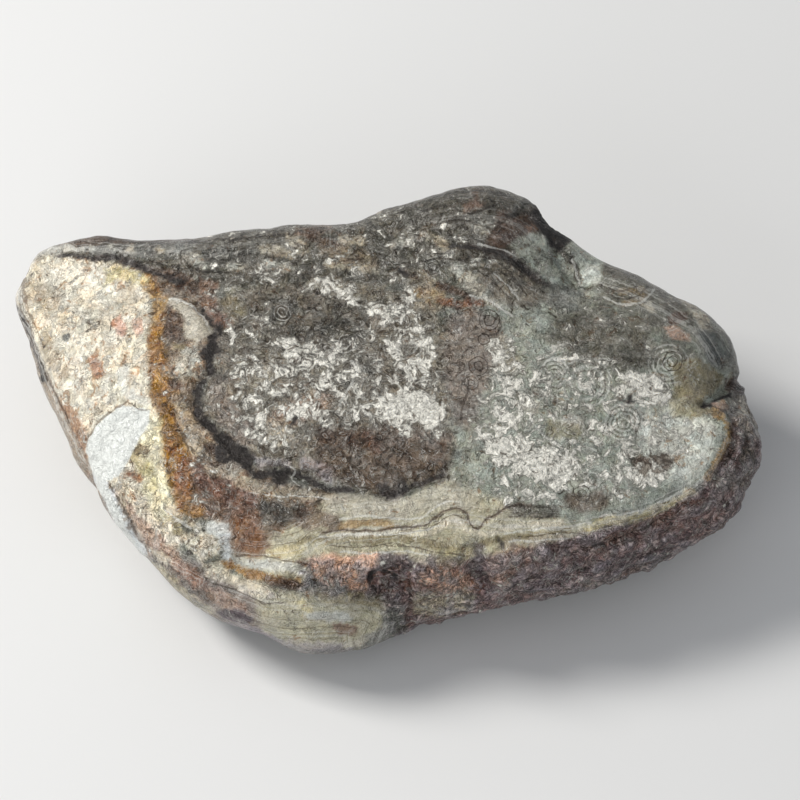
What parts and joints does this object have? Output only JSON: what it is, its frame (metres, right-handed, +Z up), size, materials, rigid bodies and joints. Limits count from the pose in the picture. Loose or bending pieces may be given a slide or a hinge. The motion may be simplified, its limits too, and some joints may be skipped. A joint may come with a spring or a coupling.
{
  "type": "rough prairie agate",
  "caption": "Weathered nodule of banded agate with a cream facet, dark seams and small eyes, resting on a flat patch of its underside.",
  "frame": {"origin": "on the table under the middle of the stone's box", "axes": "+X along the stone towards its rounded lobe, +Y to the far side, +Z up from the resting flat"},
  "size_m": [0.09, 0.0558, 0.0284],
  "materials": {
    "agate": "waxy weathered chalcedony, grey and cream with rust, yellow and brown bands, pitted here and there"
  },
  "bodies": {
    "root": {"agate": "agate"}
  },
  "joints": []
}
